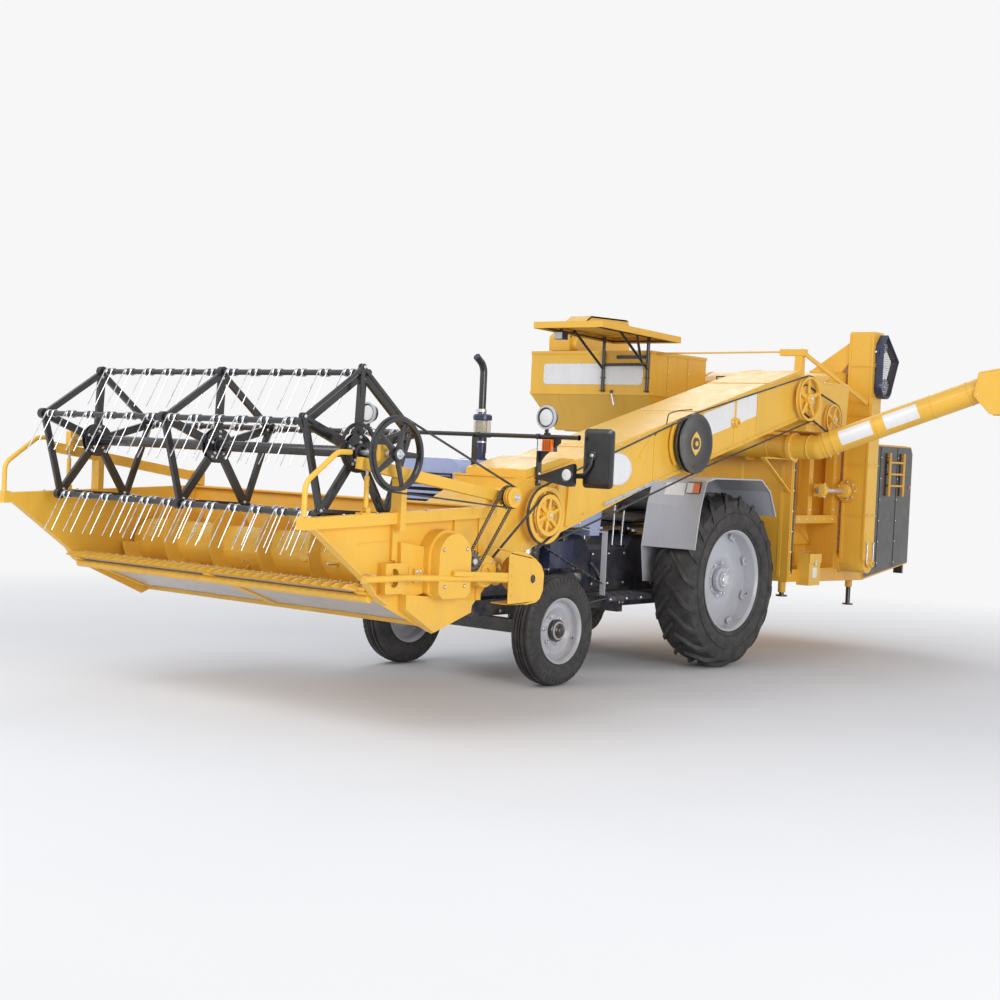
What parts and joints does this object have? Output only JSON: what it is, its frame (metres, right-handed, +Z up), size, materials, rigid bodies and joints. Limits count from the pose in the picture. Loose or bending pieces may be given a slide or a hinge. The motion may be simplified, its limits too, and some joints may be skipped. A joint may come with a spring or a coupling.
{
  "type": "combine harvester",
  "caption": "Tractor-mounted combine harvester with a bat-and-tine reel header, side feeder house, grain tank, threshing body and an unloading boom.",
  "frame": {"origin": "centre of the ground footprint of the whole machine's box, at ground height", "axes": "+X forward, along the machine's length, +Y to the machine's left, +Z up"},
  "size_m": [7.78, 4.015, 2.75],
  "materials": {
    "paint_yellow": "satin warm yellow-orange paint",
    "paint_black": "satin black paint",
    "paint_navy": "satin navy paint",
    "paint_bonnet": "gloss pale blue-grey paint",
    "paint_silver": "silver paint",
    "casting": "painted dark blue-grey castings",
    "steel": "worn bright steel",
    "pan": "pale grey sheet",
    "tyre": "black ribbed rubber",
    "belt": "grey-black belt rubber",
    "seat_black": "black seat vinyl"
  },
  "bodies": {
    "machine": {"transaxle": "casting", "engine": "casting", "main_frame": "paint_black", "front_axle": "paint_black", "bonnet": "paint_bonnet", "operator_station": "paint_black", "stacks": "paint_black", "fenders": "paint_silver", "grain_tank": "paint_yellow", "canopy": "paint_yellow", "canopy_frame": "paint_black", "body_shell": "paint_yellow", "drum_housing": "paint_yellow", "elevators": "paint_yellow", "guards": "paint_navy", "unloading_tube": "paint_yellow", "toolbox": "paint_yellow", "rear_belt": "belt"},
    "drum_lid": {"drum_lid": "paint_yellow"},
    "boom": {"unloading_boom": "paint_yellow"},
    "knuckle_left": {"knuckle_left": "paint_black"},
    "knuckle_right": {"knuckle_right": "paint_black"},
    "header": {"feeder_house": "paint_yellow", "header_trough": "pan", "header_sides": "paint_yellow", "cutter_bar": "paint_yellow", "side_drives": "paint_yellow", "lamp_bar": "paint_black", "feeder_belts": "belt"},
    "auger": {"auger": "paint_yellow"},
    "jackshaft": {"jackshaft": "paint_black"},
    "drive_pulley": {"drive_pulley": "paint_black"},
    "guide_pulley": {"guide_pulley": "paint_black"},
    "top_pulley": {"top_pulley": "paint_black"},
    "second_pulley": {"second_pulley": "paint_black"},
    "reel_arms": {"reel_arm_left": "paint_yellow", "reel_arm_right": "paint_yellow", "reel_belt": "belt"},
    "reel": {"reel": "paint_black", "reel_drive": "paint_black"},
    "reel_cage": {"reel_cage": "paint_black"},
    "adjuster_barrels": {"adjuster_barrels": "paint_black"},
    "adjuster_screws": {"adjuster_screws": "steel"},
    "lift_barrels": {"lift_barrels": "paint_black"},
    "lift_rods": {"lift_rods": "steel"},
    "stand_front": {"stand_front": "paint_black"},
    "stand_rear": {"stand_rear": "paint_black"},
    "tine_bar_1": {"tine_bar_1": "paint_black"},
    "tine_bar_2": {"tine_bar_2": "paint_black"},
    "tine_bar_3": {"tine_bar_3": "paint_black"},
    "tine_bar_4": {"tine_bar_4": "paint_black"},
    "tine_bar_5": {"tine_bar_5": "paint_black"},
    "wheel_front_left": {"tyre_front_left": "tyre", "rim_front_left": "paint_silver"},
    "wheel_front_right": {"tyre_front_right": "tyre", "rim_front_right": "paint_silver"},
    "wheel_rear_left": {"tyre_rear_left": "tyre", "rim_rear_left": "paint_silver"},
    "wheel_rear_right": {"tyre_rear_right": "tyre", "rim_rear_right": "paint_silver"}
  },
  "joints": [
    {"name": "steer_left", "type": "hinge", "parent": "machine", "child": "knuckle_left", "pos_m": [0.88, -0.0685, 0.37], "axis": [0, 0, 1], "range_deg": [-35, 35]},
    {"name": "steer_right", "type": "hinge", "parent": "machine", "child": "knuckle_right", "pos_m": [0.88, -1.2385, 0.37], "axis": [0, 0, 1], "range_deg": [-35, 35]},
    {"name": "spin_front_left", "type": "hinge", "parent": "knuckle_left", "child": "wheel_front_left", "pos_m": [0.88, 0.019, 0.37], "axis": [0, 1, 0], "continuous": true},
    {"name": "spin_front_right", "type": "hinge", "parent": "knuckle_right", "child": "wheel_front_right", "pos_m": [0.88, -1.326, 0.37], "axis": [0, 1, 0], "continuous": true},
    {"name": "spin_rear_left", "type": "hinge", "parent": "machine", "child": "wheel_rear_left", "pos_m": [-1.03, 0.0815, 0.655], "axis": [0, 1, 0], "continuous": true},
    {"name": "spin_rear_right", "type": "hinge", "parent": "machine", "child": "wheel_rear_right", "pos_m": [-1.03, -1.3885, 0.655], "axis": [0, 1, 0], "continuous": true},
    {"name": "header_lift", "type": "hinge", "parent": "machine", "child": "header", "pos_m": [-1.42, 0.2765, 2.04], "axis": [0, -1, 0], "range_deg": [-7, 2]},
    {"name": "auger_spin", "type": "hinge", "parent": "header", "child": "auger", "pos_m": [2.8, -0.5635, 0.865], "axis": [0, 1, 0], "continuous": true},
    {"name": "jackshaft_spin", "type": "hinge", "parent": "header", "child": "jackshaft", "pos_m": [2.4, 0.8465, 1.285], "axis": [0, 1, 0], "continuous": true},
    {"name": "drive_pulley_spin", "type": "hinge", "parent": "header", "child": "drive_pulley", "pos_m": [1.77, 0.6045, 1.171], "axis": [0, 1, 0], "continuous": true},
    {"name": "guide_pulley_spin", "type": "hinge", "parent": "header", "child": "guide_pulley", "pos_m": [0.16, 0.5945, 1.65262], "axis": [0, 1, 0], "continuous": true},
    {"name": "top_pulley_spin", "type": "hinge", "parent": "machine", "child": "top_pulley", "pos_m": [-1.42, 0.5845, 2.04], "axis": [0, 1, 0], "continuous": true},
    {"name": "second_pulley_spin", "type": "hinge", "parent": "machine", "child": "second_pulley", "pos_m": [-1.88, 0.5515, 1.905], "axis": [0, 1, 0], "continuous": true},
    {"name": "reel_lift", "type": "hinge", "parent": "header", "child": "reel_arms", "pos_m": [2.4, -0.5635, 1.285], "axis": [0, -1, 0], "range_deg": [0, 5]},
    {"name": "reel_spin", "type": "hinge", "parent": "reel_arms", "child": "reel", "pos_m": [3.36, -0.5635, 1.5], "axis": [0, 1, 0], "continuous": true},
    {"name": "cage_spin", "type": "hinge", "parent": "reel_arms", "child": "reel_cage", "pos_m": [3.415, 0.6235, 1.525], "axis": [0, 1, 0], "continuous": true},
    {"name": "lift_barrel_pivot", "type": "hinge", "parent": "machine", "child": "lift_barrels", "pos_m": [1.34, -0.6535, 0.52], "axis": [0, -1, 0], "range_deg": [-23.79, 6.8]},
    {"name": "lift_rod_slide", "type": "slide", "parent": "lift_barrels", "child": "lift_rods", "axis": [0.9233, 0, 0.384], "range_m": [-0.2669, 0.0763]},
    {"name": "adjuster_pivot", "type": "hinge", "parent": "header", "child": "adjuster_barrels", "pos_m": [3.425, -0.5635, 1.205], "axis": [0, -1, 0], "range_deg": [0, 3.18]},
    {"name": "adjuster_slide", "type": "slide", "parent": "adjuster_barrels", "child": "adjuster_screws", "axis": [0, 0, 1], "range_m": [0, 0.0912]},
    {"name": "boom_turn", "type": "hinge", "parent": "machine", "child": "boom", "pos_m": [-1.63, 0.3565, 1.68], "axis": [0, 1, 0], "range_deg": [-35, 40]},
    {"name": "stand_front_drop", "type": "slide", "parent": "machine", "child": "stand_front", "axis": [0, 0, -1], "range_m": [0, 0.5]},
    {"name": "stand_rear_drop", "type": "slide", "parent": "machine", "child": "stand_rear", "axis": [0, 0, -1], "range_m": [0, 0.38]},
    {"name": "drum_lid_hinge", "type": "hinge", "parent": "machine", "child": "drum_lid", "pos_m": [-2.48017, -0.5235, 2.316], "axis": [0, -1, 0], "range_deg": [0, 60]},
    {"name": "tine_bar_1_turn", "type": "hinge", "parent": "reel", "child": "tine_bar_1", "pos_m": [3.34322, -0.5635, 1.91766], "axis": [0, 1, 0], "continuous": true},
    {"name": "tine_bar_2_turn", "type": "hinge", "parent": "reel", "child": "tine_bar_2", "pos_m": [3.75204, -0.5635, 1.64502], "axis": [0, 1, 0], "continuous": true},
    {"name": "tine_bar_3_turn", "type": "hinge", "parent": "reel", "child": "tine_bar_3", "pos_m": [3.61907, -0.5635, 1.17196], "axis": [0, 1, 0], "continuous": true},
    {"name": "tine_bar_4_turn", "type": "hinge", "parent": "reel", "child": "tine_bar_4", "pos_m": [3.12808, -0.5635, 1.15224], "axis": [0, 1, 0], "continuous": true},
    {"name": "tine_bar_5_turn", "type": "hinge", "parent": "reel", "child": "tine_bar_5", "pos_m": [2.95759, -0.5635, 1.61311], "axis": [0, 1, 0], "continuous": true}
  ],
  "couplings": [
    {"joint": "steer_right", "follows": "steer_left", "ratio": 1},
    {"joint": "lift_barrel_pivot", "follows": "header_lift", "ratio": 3.3314},
    {"joint": "lift_rod_slide", "follows": "header_lift", "m_per_rad": 2.1412},
    {"joint": "adjuster_pivot", "follows": "reel_lift", "ratio": 0.62395},
    {"joint": "adjuster_slide", "follows": "reel_lift", "m_per_rad": 1.023},
    {"joint": "cage_spin", "follows": "reel_spin", "ratio": 1},
    {"joint": "tine_bar_1_turn", "follows": "reel_spin", "ratio": -1},
    {"joint": "tine_bar_2_turn", "follows": "reel_spin", "ratio": -1},
    {"joint": "tine_bar_3_turn", "follows": "reel_spin", "ratio": -1},
    {"joint": "tine_bar_4_turn", "follows": "reel_spin", "ratio": -1},
    {"joint": "tine_bar_5_turn", "follows": "reel_spin", "ratio": -1}
  ]
}
